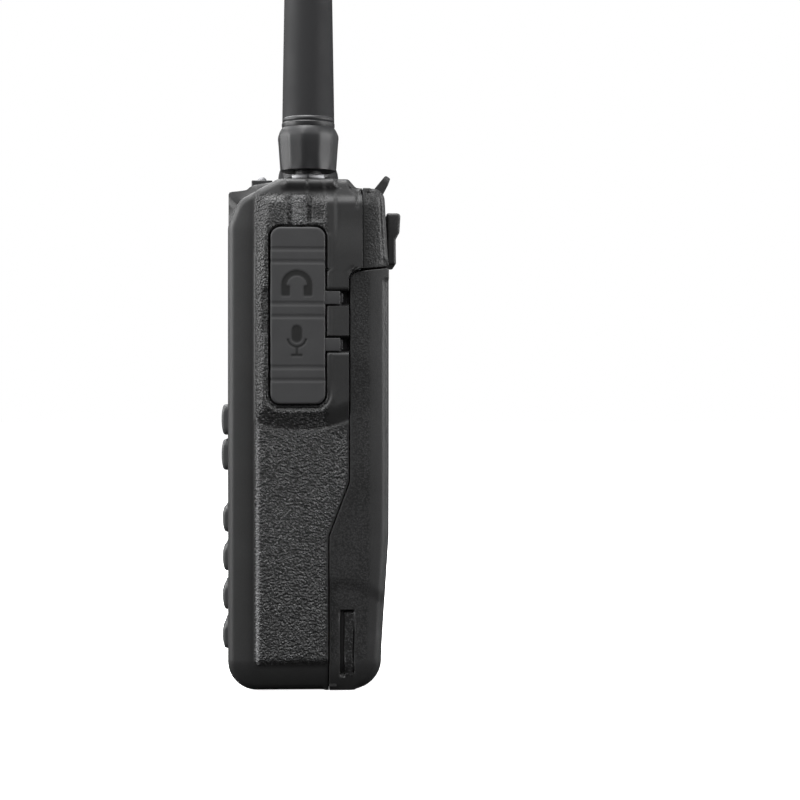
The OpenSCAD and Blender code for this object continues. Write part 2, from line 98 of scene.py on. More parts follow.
def filletOutline(points, steps=8):
    # each point is (y, z, radius); corners become arcs
    out = []
    count = len(points)
    for i in range(count):
        a, p, b = (np.array(points[(i + k) % count][:2], float) for k in (-1, 0, 1))
        r = points[i][2]
        if r == 0:
            out.append(p)
            continue
        u, v = (a - p) / np.linalg.norm(a - p), (b - p) / np.linalg.norm(b - p)
        half = math.acos(float(np.clip(u @ v, -1, 1))) / 2
        middle = (u + v) / np.linalg.norm(u + v)
        centre = p + middle * r / math.sin(half)
        start, end = p + u * r / math.tan(half) - centre, p + v * r / math.tan(half) - centre
        for k in range(steps + 1):
            d = start * (1 - k / steps) + end * (k / steps)
            out.append(centre + d / np.linalg.norm(d) * r)
    return np.array(out)


def outlineSpan(outline, z):
    # lowest and highest y of the outline at height z
    a, b = outline, np.roll(outline, -1, axis=0)
    found = []
    for (y0, z0), (y1, z1) in zip(a, b):
        if min(z0, z1) - 1e-9 <= z <= max(z0, z1) + 1e-9:
            if abs(z1 - z0) < 1e-9:
                found += [y0, y1]
            else:
                found.append(y0 + (y1 - y0) * (z - z0) / (z1 - z0))
    return min(found), max(found)


def edgeDistance(outline, y, z):
    # distance from each point to the outline
    a, b = outline, np.roll(outline, -1, axis=0)
    best = np.full(y.shape, 1e9)
    for p, q in zip(a, b):
        if np.hypot(*(q - p)) > 1e-9:
            best = np.minimum(best, capsule(y, z, p, q, 0))
    return best


def spread(a, b, step, edge, tight=4):
    # positions from a to b, closer together within edge of both ends
    near = [a + edge * (k / tight) ** 1.5 * 0.5 for k in range(tight)]
    far = [b - (p - a) for p in reversed(near)]
    inner = np.linspace(a + edge * 0.5, b - edge * 0.5, max(3, int((b - a - edge) / step)))
    return np.concatenate([near, inner, far])


def addMesh(name, verts, faces, grain):
    # verts in millimetres in the shared frame, each with its own coarseness of grain; a grain above 1 also
    # paints a highlight into the colour
    mesh = bpy.data.meshes.new(name)
    mesh.from_pydata([tuple(v) for v in verts * mm], [], faces)
    layer = mesh.attributes.new("grain", "FLOAT", "POINT")
    layer.data.foreach_set("value", grain.astype(np.float32))
    bm = bmesh.new()
    bm.from_mesh(mesh)
    bmesh.ops.remove_doubles(bm, verts=bm.verts, dist=0.002 * mm)
    bmesh.ops.dissolve_degenerate(bm, edges=bm.edges, dist=0.0005 * mm)
    bmesh.ops.recalc_face_normals(bm, faces=bm.faces)
    bm.to_mesh(mesh)
    bm.free()
    mesh.shade_smooth()
    mesh.set_sharp_from_angle(angle=math.radians(48))
    piece = bpy.data.objects.new(name, mesh)
    scene.collection.objects.link(piece)
    return piece


def gridFaces(rows, columns, start=0, wrap=False):
    faces = []
    for i in range(rows - 1):
        for j in range(columns if wrap else columns - 1):
            k = (j + 1) % columns
            faces.append((start + i * columns + j, start + i * columns + k,
                          start + (i + 1) * columns + k, start + (i + 1) * columns + j))
    return faces


def join(name, parts):
    # parts are (verts, faces, grain) lists that become one piece
    verts, faces, grain, base = [], [], [], 0
    for v, f, g in parts:
        v = np.asarray(v, float)
        verts.append(v)
        faces += [tuple(k + base for k in face) for face in f]
        grain.append(np.broadcast_to(np.asarray(g, float), (len(v),)))
        base += len(v)
    return addMesh(name, np.concatenate(verts), faces, np.concatenate(grain))


def lathe(profile, centre, turns=72, wave=None):
    # profile is (radius, z); wave(radius, z, angle) changes the radius round the turn
    angle = np.linspace(0, 2 * math.pi, turns, endpoint=False)
    verts = []
    for r, z in profile:
        radius = np.full(turns, float(r)) if wave is None else wave(r, z, angle)
        verts.append(np.stack([centre[0] + radius * np.cos(angle), centre[1] + radius * np.sin(angle),
                               np.full(turns, float(z))], axis=1))
    return np.concatenate(verts), gridFaces(len(profile), turns, wrap=True), 0.0


def boxPart(low, high, bevel=0.3):
    # a block with its corners cut, as (verts, faces, grain)
    bm = bmesh.new()
    bmesh.ops.create_cube(bm, size=1)
    size, middle = np.subtract(high, low), np.add(low, high) / 2
    for v in bm.verts:
        v.co = Vector(np.array(v.co) * size + middle)
    bmesh.ops.bevel(bm, geom=bm.edges[:], offset=bevel, segments=3, profile=0.6, affect="EDGES")
    bm.verts.index_update()
    out = [v.co[:] for v in bm.verts], [[v.index for v in f.verts] for f in bm.faces], 0.0
    bm.free()
    return out


def place(piece, body, slotName, material, *replaced):
    # puts a piece on its body, in the place of the CAD nodes that it stands for
    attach(piece, body)
    if replaced:
        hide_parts(*replaced)
    piece.data.materials.clear()
    piece.data.materials.append(material)
    return piece


class Wire:
    # a socket that can be used in sums
    def __init__(self, maker, socket):
        self.maker, self.socket = maker, socket

    def maths(self, operation, other, flipped=False):
        first, second = (other, self) if flipped else (self, other)
        return self.maker.node("ShaderNodeMath", {"operation": operation}, {0: first, 1: second})

    def __add__(self, other):
        return self.maths("ADD", other)

    def __sub__(self, other):
        return self.maths("SUBTRACT", other)

    def __rsub__(self, other):
        return self.maths("SUBTRACT", other, True)

    def __mul__(self, other):
        return self.maths("MULTIPLY", other)

    __radd__, __rmul__ = __add__, __mul__


class NodeMaker:
    # adds nodes to one tree
    def __init__(self, tree):
        self.tree = tree
        tree.nodes.clear()

    def node(self, kind, settings=None, inputs=None, output=0):
        made = self.tree.nodes.new(kind)
        for key, value in (settings or {}).items():
            setattr(made, key, value)
        for key, value in (inputs or {}).items():
            self.feed(made.inputs[key], value)
        return Wire(self, made.outputs[output]) if made.outputs else None

    def feed(self, socket, value):
        if isinstance(value, Wire):
            self.tree.links.new(value.socket, socket)
        else:
            socket.default_value = value


class Shader(NodeMaker):
    # one material round a principled surface
    def __init__(self, name):
        self.material = bpy.data.materials.new(name)
        self.material.use_nodes = True
        super().__init__(self.material.node_tree)
        self.shown = self.node("ShaderNodeBsdfPrincipled")

    def set(self, **values):
        for key, value in values.items():
            self.feed(self.shown.socket.node.inputs[key.replace("_", " ")], value)

    def where(self):
        return self.node("ShaderNodeTexCoord", output="Object")

    def noise(self, scale, detail=3.0, rough=0.5):
        return self.node("ShaderNodeTexNoise", {}, {"Vector": self.where(), "Scale": scale,
                         "Detail": detail, "Roughness": rough})

    def attribute(self, name):
        return self.node("ShaderNodeAttribute", {"attribute_name": name}, output="Fac")

    def mixColour(self, amount, a, b):
        return self.node("ShaderNodeMix", {"data_type": "RGBA"}, {0: amount, 6: a, 7: b}, 2)

    def relief(self, height, depth):
        self.set(Normal=self.node("ShaderNodeBump", {}, {"Height": height, "Distance": depth}))

    def finish(self):
        self.node("ShaderNodeOutputMaterial", {}, {"Surface": self.shown})
        return self.material


def grey(value):
    return (value, value, value * 1.02, 1.0)


def mouldedPlastic(name, look):
    # plastic whose grain depth follows the mesh's own grain layer, with the grain's light and shade painted
    # into its colour
    s = Shader(name)
    mask = s.attribute("grain")
    pebbles = s.node("ShaderNodeTexVoronoi", {}, {"Vector": s.where(), "Scale": look["coarse"] * 0.8})
    coarse = s.noise(look["coarse"], 2.0, 0.55) * 0.6 + (0.85 - pebbles) * 0.45
    fine = s.noise(look["fine"], 3.0, 0.6)
    wearAndEdgeSheen = s.noise(90, 4.0, 0.6)
    lift = mask * (coarse - 0.5) * look["coarseDepth"] + (fine - 0.5) * look["fineDepth"]
    # flecks follow the grain's relief: painted highlight on its bumps, painted shade in its pits, and
    # grained areas painted lighter overall
    shade = 0.12 + (wearAndEdgeSheen - 0.5) * 0.15 + (fine - 0.5) * 0.3 + mask * (coarse - 0.495) * look["bumpLightAndShade"]
    moulded = s.mixColour(shade, grey(look["dark"]), grey(look["light"]))
    # a grain above 1 marks an edge where a highlight is painted paler into the colour
    paintedHighlight = s.node("ShaderNodeMapRange", {}, {"Value": mask, "From Min": 1.0, "From Max": 2.0})
    s.set(Base_Color=s.mixColour(paintedHighlight * (coarse * 0.9 + 0.2), moulded, grey(0.28)))
    s.set(Roughness=look["rough"] - mask * 0.15 + (wearAndEdgeSheen - 0.5) * 0.10)
    s.relief(lift, mm)
    return s.finish()


def plain(name, colour, rough=0.5, metal=0.0, grainScale=2500, depth=0.02, vary=0.25, coat=0.0,
          shine=0.5):
    # one finish with a little mottling and a fine surface
    s = Shader(name)
    cloud = s.noise(120, 4.0)
    fine = s.noise(grainScale, 2.0)
    dark = tuple(c * (1 - vary) for c in colour) + (1.0,)
    light = tuple(min(1, c * (1 + vary)) for c in colour) + (1.0,)
    s.set(Base_Color=s.mixColour(cloud, dark, light), Metallic=metal, Coat_Weight=coat,
          Specular_IOR_Level=shine)
    s.set(Roughness=rough + (cloud - 0.5) * 0.2)
    s.relief(fine, depth * mm)
    return s.finish()


def coverRubberDarkMarks():
    # lighter rubber with its sunk marks coloured darker
    s = Shader("coverRubber")
    cloud = s.noise(160, 4.0)
    plainTone = s.mixColour(cloud, (0.028, 0.028, 0.029, 1), (0.036, 0.036, 0.037, 1))
    s.set(Base_Color=s.mixColour(s.attribute("grain"), plainTone, (0.004, 0.004, 0.004, 1)))
    s.set(Roughness=0.6 + (cloud - 0.5) * 0.15, Specular_IOR_Level=0.35)
    s.relief(s.noise(2600, 2.0), 0.012 * mm)
    return s.finish()


housingLook = {"coarse": 2050, "fine": 4200, "coarseDepth": 0.60, "fineDepth": 0.02,
               "dark": 0.003, "light": 0.055, "rough": 0.55, "bumpLightAndShade": 3.2}
materials = {
    "housing_plastic": mouldedPlastic("housingPlastic", housingLook),
    "battery_plastic": mouldedPlastic("batteryPlastic", {**housingLook, "coarse": 2600,
                                      "coarseDepth": 0.16, "light": 0.10, "bumpLightAndShade": 1.6}),
    "cover_rubber": coverRubberDarkMarks(),
    "strap_rubber": plain("strapRubber", (0.022, 0.022, 0.023), 0.6, depth=0.012, vary=0.12),
    "key_rubber": plain("keyRubber", (0.036, 0.037, 0.038), 0.55, depth=0.012, vary=0.12),
    "knob_plastic": plain("knobPlastic", (0.012, 0.012, 0.013), 0.46, depth=0.01, shine=0.4),
    "antenna_rubber": plain("antennaRubber", (0.014, 0.014, 0.015), 0.66, depth=0.015, vary=0.1,
                            shine=0.22),
    "die_casting": plain("dieCasting", (0.42, 0.43, 0.45), 0.5, 1.0, 1800, 0.03),
    "steel": plain("platedSteel", (0.6, 0.6, 0.62), 0.3, 1.0, 3000, 0.006, 0.1),
    "gold_plate": plain("goldPlate", (0.72, 0.55, 0.25), 0.28, 1.0, 3000, 0.005, 0.1),
    "window_plastic": plain("windowPlastic", (0.006, 0.007, 0.008), 0.12, 0, 400, 0.001, 0.2, 0.5),
    "lens_plastic": plain("lensPlastic", (0.2, 0.2, 0.21), 0.5, depth=0.004, vary=0.1),
    "board": plain("board", (0.01, 0.09, 0.04), 0.35, depth=0.01),
    "inner_plastic": plain("innerPlastic", (0.03, 0.03, 0.032), 0.5),
    "display_glass": plain("displayGlass", (0.03, 0.04, 0.035), 0.15, depth=0.001),
    "cell_wrap": plain("cellWrap", (0.03, 0.08, 0.24), 0.3, depth=0.005),
    "silicone": plain("silicone", (0.06, 0.06, 0.062), 0.6),
}
print("materials made")

# looks at the jack side from straight on, in millimetres
camera = {"distance": 500, "height": 75.0, "aimLeft": 23.3, "frameWidth": 204.8}
nearFace = cadBox[1][0] / mm
camData = bpy.data.cameras.new("camera")
camData.lens = 36 * camera["distance"] / camera["frameWidth"]
camObj = bpy.data.objects.new("camera", camData)
camObj.location = ((nearFace + camera["distance"]) * mm, 0, camera["height"] * mm)
yaw = math.atan2(camera["aimLeft"], camera["distance"])
camObj.rotation_euler = (math.pi / 2, 0, math.pi / 2 - yaw)
scene.collection.objects.link(camObj)
scene.camera = camObj
scene.view_settings.view_transform = "Standard"


def softbox(name, spot, aim, width, height, power):
    data = bpy.data.lights.new(name, "AREA")
    data.shape, data.size, data.size_y, data.energy = "RECTANGLE", width, height, power
    light = bpy.data.objects.new(name, data)
    light.location = spot
    light.rotation_euler = (Vector(aim) - Vector(spot)).to_track_quat("-Z", "Y").to_euler()
    scene.collection.objects.link(light)


# each lamp's place, what it points at, its width and height in metres, and its watts
lamps = {
    "frontRight": ((0.24, -0.82, 0.32), (0, 0, 0.07), 0.14, 0.50, 8.0),
    "frontLeft": ((-0.24, -0.82, 0.36), (0, 0, 0.08), 0.16, 0.50, 4.0),
    "sideRight": ((0.62, -0.26, 0.66), (0, 0, 0.09), 0.20, 0.34, 2.2),
    "sideLeft": ((-0.62, -0.26, 0.66), (0, 0, 0.09), 0.20, 0.34, 1.8),
    "rearRight": ((0.58, 0.36, 0.62), (0, 0, 0.09), 0.16, 0.40, 1.3),
    "backRight": ((0.30, 0.80, 0.34), (0, 0, 0.09), 0.20, 0.55, 7.0),
    "backLeft": ((-0.30, 0.80, 0.34), (0, 0, 0.09), 0.20, 0.55, 1.8),
    "overhead": ((0.0, -0.10, 0.90), (0, 0, 0.08), 0.50, 0.40, 12.0),
    "keyRight": ((0.45, -0.50, 0.75), (0, 0, 0.09), 0.25, 0.25, 1.1),
    "keyLeft": ((-0.45, -0.50, 0.75), (0, 0, 0.09), 0.25, 0.25, 1.5),
}
for label, lamp in lamps.items():
    softbox(label, *lamp)

room = {"horizon": 0.01, "zenith": 0.42, "zenithAt": 0.75, "tint": (0.96, 0.98, 1, 1)}


def paintRoom():
    # white to look at, and lights the radio mostly from above
    world = bpy.data.worlds.new("studio")
    scene.world = world
    world.use_nodes = True
    sky = NodeMaker(world.node_tree)
    up = sky.node("ShaderNodeSeparateXYZ", {}, {0: sky.node("ShaderNodeTexCoord", output="Generated")}, "Z")
    glow = sky.node("ShaderNodeMapRange", {}, {"Value": up, "From Max": room["zenithAt"],
                    "To Min": room["horizon"], "To Max": room["zenith"]})
    white = sky.node("ShaderNodeBackground", {}, {"Color": (1, 1, 1, 1)})
    lit = sky.node("ShaderNodeBackground", {}, {"Color": room["tint"], "Strength": glow})
    seen = sky.node("ShaderNodeLightPath", output="Is Camera Ray")
    both = sky.node("ShaderNodeMixShader", {}, {0: seen, 1: lit, 2: white})
    sky.node("ShaderNodeOutputWorld", {}, {"Surface": both})


paintRoom()
floorMesh = bpy.data.meshes.new("floor")
floorMesh.from_pydata([(-6, -6, 0), (6, -6, 0), (6, 6, 0), (-6, 6, 0)], [], [(0, 1, 2, 3)])
floorObj = bpy.data.objects.new("floor", floorMesh)
floorObj.location.z = cadBox[0][2] - 0.0002
scene.collection.objects.link(floorObj)


def floorPaint():
    # pale to look at, and it throws little light back up
    s = Shader("floorPaint")
    cloud = s.noise(6, 2.0)
    s.set(Base_Color=s.mixColour(cloud, (0.02, 0.02, 0.02, 1), (0.025, 0.025, 0.025, 1)), Roughness=0.9)
    pale = s.node("ShaderNodeBsdfDiffuse", {}, {"Color": (0.86, 0.86, 0.86, 1)})
    shine = s.node("ShaderNodeEmission", {}, {"Strength": 0.80})
    both = s.node("ShaderNodeAddShader", {}, {0: pale, 1: shine})
    seen = s.node("ShaderNodeLightPath", output="Is Camera Ray")
    s.shown = s.node("ShaderNodeMixShader", {}, {0: seen, 1: s.shown, 2: both})
    return s.finish()


floorMesh.materials.append(floorPaint())
print("camera and lights set")

# the moulded shells, with y from front to back and z up
shell = {
    "frontY": -20.9, "backY": 20.6, "deckZ": 129.6, "saddleZ": 132.0,
    "gripX": 29.15, "islandX": 30.75, "gap": 0.25, "step": 0.4314, "fillet": 1.7,
    "partLow": 5.2, "partHigh": 10.5, "stepLow": 40, "stepHigh": 54, "shelfZ": 107.6, "rearY": 13.8,
    "batteryTop": 108.4,
}
keys = {
    "rows": [69.9, 60.7, 43.9, 33.8, 23.65, 13.45], "pitch": 13.6, "width": 11.2, "r": 1.7, "menuRows": 2,
    "menuHeight": 8.0, "numberHeight": 6.9, "proud": 1.8, "menuProud": 2.1, "room": 0.9, "below": 0.6,
    "wellDepth": 1.9,
}
face = {
    "windowZ": 87, "windowW": 40.6, "windowH": 20.6, "frameW": 45, "frameH": 25,
    "speakerZ": 109, "dishR": 11.6, "dishFloorZ": 100.1, "micX": -16.5, "micZ": 52.2,
    "slots": 7, "slotPitch": 2.6, "slotW": 17, "slotH": 1.2,
}
ptt = {"y": -2.85, "z": 100.8, "w": 15.9, "h": 27.2, "r": 2.8, "arch": 0.018, "x": 30.55, "depth": 2.8}
sideKeys = {"y": -2.8, "z": [75.65, 63.5], "w": 13.6, "h": 9.8, "r": 1.7, "x": 30.55, "depth": 2.6}
flap = {
    "y": -2.85, "z": 96.6, "w": 14.1, "h": 45.4, "r": 2.6, "x": 30.62, "depth": 1.2,
    "strapZ": [101.2, 89.2], "strapH": 3.4, "socketZ": [103.0, 92.0], "socketR": 3.05,
    "markY": -0.25, "headphoneZ": 105.0, "microphoneZ": 90.2,
    "strapX": [29.5, 30.42], "strapY": [3.6, 8.0], "lugX": [29.0, 29.3], "lugY": [7.6, 8.7], "lugH": 2.4,
}

housingOutline = filletOutline([
    (shell["frontY"], 0, 7.5), (shell["partLow"] - shell["gap"], 0, 0.3),
    (shell["partLow"] - shell["gap"], shell["stepLow"], 5),
    (shell["partHigh"] - shell["gap"], shell["stepHigh"], 5),
    (shell["partHigh"] - shell["gap"], shell["shelfZ"] + 0.2, 2.2),
    (shell["rearY"] - 0.06, shell["batteryTop"] + 0.35, 0), (shell["rearY"] - 0.06, shell["deckZ"], 0.2),
    (12.2, shell["deckZ"], 0.8), (10.1, shell["saddleZ"], 1.2), (-8.0, shell["saddleZ"], 3),
    (-18.2, 126.4, 6), (shell["frontY"], 120.0, 6)])
# the same stretch of the top as it runs across the middle, where the panel stands up square
squareTop = filletOutline([(shell["frontY"], 110, 0), (shell["frontY"], 129.0, 0.7), (-16.2, 129.6, 0.8),
                           (-15.0, 130.8, 0.6), (-8.0, shell["saddleZ"], 0)])
batteryOutline = filletOutline([
    (shell["partLow"], 0, 0.3), (18.4, 0, 8), (18.8, 12, 0), (shell["backY"], 40, 20),
    (shell["backY"], shell["batteryTop"] + 0.6, 0.5),
    (shell["rearY"] + 0.3, shell["batteryTop"] - 0.15, 0.3),
    (shell["partHigh"], shell["shelfZ"] - 0.1, 2.0), (shell["partHigh"], shell["stepHigh"] - 0.1, 5),
    (shell["partLow"], shell["stepLow"] - 0.1, 5)])
rearOutline = filletOutline([
    (shell["rearY"], shell["batteryTop"] + 0.35, 0.2), (20.5, shell["batteryTop"] + 1.1, 0.3),
    (19.4, shell["deckZ"], 3.0), (shell["rearY"], shell["deckZ"], 0.2)])


def pttOutline(u, v):
    # distance to the talk button's outline, whose ends are arched
    return roundRect(u, v + np.sign(v) * ptt["arch"] * u ** 2, ptt["w"], ptt["h"], ptt["r"])


# the raised island on the jack side (1) and on the talk button's side (-1)
island = {
    1: {"height": shell["islandX"] - 0.23, "foot": 67.2, "bow": 0.016, "front": -14.2, "lean": 1.54},
    -1: {"height": shell["islandX"], "foot": 52.2, "bow": 0.03, "front": -14.2, "lean": 0.88},
}


def jackSide(x, grain, y, z):
    # smooth rear part, and the half-round below the knob
    grain = grain * (1 - ramp(y, 3.8, 5.4) * ramp(z, 66, 70))
    x = x - 0.5 * slope(z, 119.0, 128.0) * (1 - ramp(y, -7.0, -5.5))
    x = x - 0.45 * slope(z, 120.6, 121.3) * ramp(y, -1.0, 0.0) * (1 - ramp(y, 3.2, 4.8))
    trench = (1 - ramp(np.abs(y + 2.7), 3.0, 3.7)) * ramp(z, 118.4, 119.2) * (1 - ramp(z, 126.4, 127.4))
    x = x - 0.75 * trench
    bossTop = 28.9 + 1.6 * np.sqrt(clip01(1 - ((y + 2.5) / 2.1) ** 2)) - 0.9 * ramp(z, 126.6, 128.4)
    onBoss = (z > 118.0) & (z < 127.9) & (np.abs(y + 2.5) < 2.1)
    x = np.where(onBoss, np.maximum(x, bossTop), x)
    x = x - 0.5 * ramp(y, 6.0, 7.6) * ramp(z, 112, 122)
    d = roundRect(y - flap["y"], z - flap["z"], flap["w"] + 0.5, flap["h"] + 0.5, flap["r"] + 0.2)
    x = x + 0.18 * bump(d, 0.9, 0.5) * ramp(z, 78, 86) * (1 - ramp(z, 117, 118))
    low = 1 - ramp(z, 75, 80)
    x = x + low * (0.22 * bump(d, 1.75, 0.45) - 0.32 * bump(d, 0.8, 0.26))
    depth = 1 - ramp(d, -0.15, 0.3)
    for sz in flap["strapZ"]:
        strap = roundRect(y - 6.9, z - sz, 8.6, flap["strapH"] + 0.3, 0.4)
        depth = np.maximum(depth, 1 - ramp(strap, -0.1, 0.3))
    notch = roundRect(y + 10.4, z - 97.6, 2.4, 11.4, 0.5)
    x = x - 0.45 * (1 - ramp(notch, -0.2, 0.5)) * (1 - depth)
    x = np.minimum(x - depth * (x - 29.2), 30.72)
    for sz in flap["strapZ"]:
        pocket = roundRect(y - 9.2, z - sz, 1.7, flap["strapH"], 0.2)
        x = x - 1.8 * (1 - ramp(pocket, -0.15, 0.25))
    for sz in flap["socketZ"]:
        x = x - 2.6 * (1 - ramp(np.hypot(y - flap["y"], z - sz), flap["socketR"], flap["socketR"] + 0.35))
    # the half-round gets a grain above 1, which paints a highlight into its colour
    grain = grain * (1 - depth) * (1 + 0.75 * onBoss)
    return x, grain


def talkSide(x, grain, lift, y, z):
    # ridges round the talk button, its opening and the two keys' openings
    v = z - ptt["z"]
    arc = ptt["arch"] * 1.3 * (y - ptt["y"]) ** 2
    inSpan = 1 - ramp(np.abs(y - ptt["y"]), 5.8, 8.2)
    ridges = ((16.1, 0.35, 0.55), (17.2, -0.45, 0.45), (18.4, 0.25, 0.7), (-14.7, 0.35, 0.6),
              (-15.8, -0.35, 0.4), (-16.5, 0.3, 0.4), (-17.8, -0.6, 0.7), (-19.2, -0.5, 0.9))
    for centre, rise, width in ridges:
        x = x + rise * bump(v, centre - np.sign(centre) * arc, width) * inSpan
    x = x - 0.9 * slope(v, 18.6, 26) * lift
    depth = 1 - ramp(pttOutline(y - ptt["y"], v) - 0.3, -0.2, 0.25)
    for kz in sideKeys["z"]:
        d = roundRect(y - sideKeys["y"], z - kz, sideKeys["w"] + 0.6, sideKeys["h"] + 0.6,
                      sideKeys["r"] + 0.2)
        depth = np.maximum(depth, 1 - ramp(d, -0.2, 0.25))
        x = x + 0.15 * bump(d, 0.7, 0.4) * (1 - depth)
    x = x - depth * (x - 28.0)
    lobe = np.sqrt(clip01(1 - ((y + 0.5) / 2.8) ** 2)) * ramp(z, 126.2, 127.2) * (1 - ramp(z, 131.2, 132))
    x = x + 1.2 * lobe
    grain = grain * (1 - ramp(y, 6.4, 7.4) * ramp(z, 50, 57))
    grain = np.maximum(grain, 0.8 * ramp(lobe, 0.1, 0.5))
    grain = np.maximum(grain, 0.7 * ramp(y, 9.4, 9.9) * ramp(z, 100, 106) * (1 - ramp(z, 121.5, 123)))
    grain = grain * (1 - depth)
    return x, grain


def sidePanel(side, y, z):
    # outward height of the side at (y, z), and how coarse its grain is
    panel = slope(y, -14.1, -12.9) * slope(z, 6.4, 8.4)
    x = shell["gripX"] - 0.95 + 0.95 * panel
    # the front and the foot fall away
    x = x - 1.3 * clip01((-14.8 - y) / 6.0) ** 1.6
    x = x - 2.7 * clip01((8.0 - z) / 8.0) ** 1.5
    # raised island under the controls
    shape = island[side]
    foot = shape["foot"] + shape["bow"] * (y + 2.9) ** 2
    front = shape["front"] + shape["lean"] * clip01((z - 112) / 14)
    back = 1 - slope(y, 7.0, 9.4) * (side < 0)
    lift = np.minimum.reduce([slope(y, front, front + 2.7), slope(z, foot, foot + 4.9), back])
    # the foot dips below the panel before it climbs
    inside = ramp(y, -12.5, -10.5) * (1 - ramp(y, 7.5, 9.5) * (side < 0))
    x = x - 0.4 * inside * slope(z, foot - 0.7, foot) * (1 - slope(z, foot, foot + 4.0))
    top = 1 - slope(z, 125.6, 127.6)
    x = x + (shape["height"] - shell["gripX"]) * lift * (0.25 + 0.75 * top)
    # the deck's edge leans in at both ends and out under the knob and antenna
    mid = ramp(y, -8.0, -5.5) * (1 - ramp(y, 6.2, 7.4))
    x = x - 0.9 * slope(z, 127.0, 132.0) * (1 - mid) - mid * 0.9 * bump(z, 128.6, 1.3)
    grain = ramp(panel, 0.05, 0.4) * (1 - ramp(z, 127.4, 128.4))
    # coarser on the panel's lit edge, where a grain above 1 also paints a highlight into the colour,
    # stronger lower down; finer up on the island, with fewer painted flecks
    wearAndEdgeSheen = (1.0 - 0.4 * ramp(z, 20, 60)) * bump(y, -13.3, 0.5) * (1 - ramp(z, 66, 72))
    grain = grain * (1 + wearAndEdgeSheen)
    grain = grain * (1 - 0.28 * ramp(z, foot + 4, foot + 6))
    # crease that sets off the rear deck's rim
    rim = edgeDistance(housingOutline, y, z)
    x = x - 0.3 * bump(rim, 1.35, 0.25) * ramp(y, 9.6, 10.6) * ramp(z, 124, 125)
    return jackSide(x, grain, y, z) if side > 0 else talkSide(x, grain, lift, y, z)


def sideSkin(outline, height, side, step, fillet, ledges=()):
    # one side of a shell as a height field that fills the outline; ledges are the heights of flats in it
    zMin, zMax = outline[:, 1].min(), outline[:, 1].max()
    rows = spread(zMin, zMax, step, 3.0, 7)
    for z in ledges:
        rows = np.append(rows[np.abs(rows - z) > 0.1], (z - 0.03, z + 0.03))
    rows = np.sort(rows)
    spans = np.array([outlineSpan(outline, z) for z in rows])
    count = int((spans[:, 1] - spans[:, 0]).max() / step) + 12
    share = spread(0.0, 1.0, 1.0 / count, 0.09, 6)
    y = spans[:, :1] + (spans[:, 1:] - spans[:, :1]) * share[None, :]
    z = np.repeat(rows[:, None], len(share), axis=1)
    x, grain = height(side, y, z)
    d = edgeDistance(outline, y, z)
    r = fillet(y, z)
    x = x - (r - np.sqrt(np.maximum(r * r - np.maximum(r - d, 0) ** 2, 0)))
    verts = np.stack([side * x, y, z], axis=2)
    return verts, grain * clip01(d / 0.8)


def keyHeight(row):
    return keys["menuHeight"] if row < keys["menuRows"] else keys["numberHeight"]


def frontDepth(x, z):
    # how far the front face is cut in at (x, z)
    depth = np.zeros(x.shape)
    for i, row in enumerate(keys["rows"]):
        for c in (-1, 0, 1):
            d = roundRect(x - c * keys["pitch"], z - row, keys["width"] + keys["room"],
                          keyHeight(i) + keys["room"], keys["r"] + 0.3)
            depth = np.maximum(depth, keys["wellDepth"] * (1 - ramp(d, -0.25, 0.2)))
    window = roundRect(x, z - face["windowZ"], face["windowW"], face["windowH"], 2.2)
    depth = np.maximum(depth, 0.95 * (1 - ramp(window, -0.25, 0.2)))
    frameLine = np.abs(roundRect(x, z - face["windowZ"], face["frameW"], face["frameH"], 4.0))
    depth = np.maximum(depth, 0.5 * ramp(-frameLine, -0.5, -0.1))
    v = z - face["speakerZ"]
    for i in range(face["slots"]):
        k = i - (face["slots"] - 1) // 2
        slot = roundRect(x, v - k * face["slotPitch"], face["slotW"] - abs(k) * 2, face["slotH"], 0.55)
        depth = np.maximum(depth, 1.9 * (1 - ramp(slot, -0.3, 0.25)))
    dish = np.maximum(np.hypot(x, v) - face["dishR"], face["dishFloorZ"] - z)
    depth = np.maximum(depth, 0.35 * (1 - ramp(dish, -0.4, 0.5)))
    mic = np.hypot(x - face["micX"], z - face["micZ"])
    return np.maximum(depth, 1.5 * (1 - ramp(mic, 0.2, 1.15)))


def acrossStrip(left, right, chain, shape, steps):
    # joins two chains of edge points across the body, and shape moves the points
    a, b = left[chain[0], chain[1]], right[chain[0], chain[1]]
    width = np.concatenate([[0, 0.004, 0.012], np.linspace(0.02, 0.98, steps), [0.988, 0.996, 1]])
    verts = a[:, None, :] * (1 - width)[None, :, None] + b[:, None, :] * width[None, :, None]
    return shape(verts).reshape(-1, 3), gridFaces(len(a), len(width))


def edgeChain(rows, columns, lastRow=0):
    # places on a grid's edge: along the bottom to the front, up, back over the top and down to lastRow
    down = list(range(rows - 2, lastRow - 1, -1))
    rowPlaces = [0] * columns + list(range(1, rows)) + [rows - 1] * (columns - 1) + down
    columnPlaces = (list(range(columns - 1, -1, -1)) + [0] * (rows - 1) + list(range(1, columns))
                    + [columns - 1] * len(down))
    return rowPlaces, columnPlaces


def housingFillet(y, z):
    # big round along the top, back and bottom edges, tight along the parting line
    atPart = ramp(y, 3.4, 4.6) * (1 - ramp(z, 107.0, 109.0))
    atSeam = ramp(y, 11.4, 11.8) * (1 - ramp(z, 127.4, 128.2))
    return shell["fillet"] - (shell["fillet"] - 0.15) * np.maximum(atPart, atSeam)


deckLedge = (shell["deckZ"],)
right, rightGrain = sideSkin(housingOutline, sidePanel, 1, shell["step"], housingFillet, deckLedge)
left, leftGrain = sideSkin(housingOutline, sidePanel, -1, shell["step"], housingFillet, deckLedge)
rowCount, columnCount = right.shape[:2]
deckRow = int(np.searchsorted(right[:, -1, 2], shell["deckZ"] - 0.05))
chain = edgeChain(rowCount, columnCount, deckRow)


def lengthsAlong(points):
    return np.concatenate([[0], np.cumsum(np.hypot(*np.diff(points, axis=0).T))])


def pathAlong(points, share):
    # points at the given shares of a path's length
    lengths = lengthsAlong(points)
    return np.stack([np.interp(share * lengths[-1], lengths, points[:, k]) for k in (0, 1)], axis=-1)


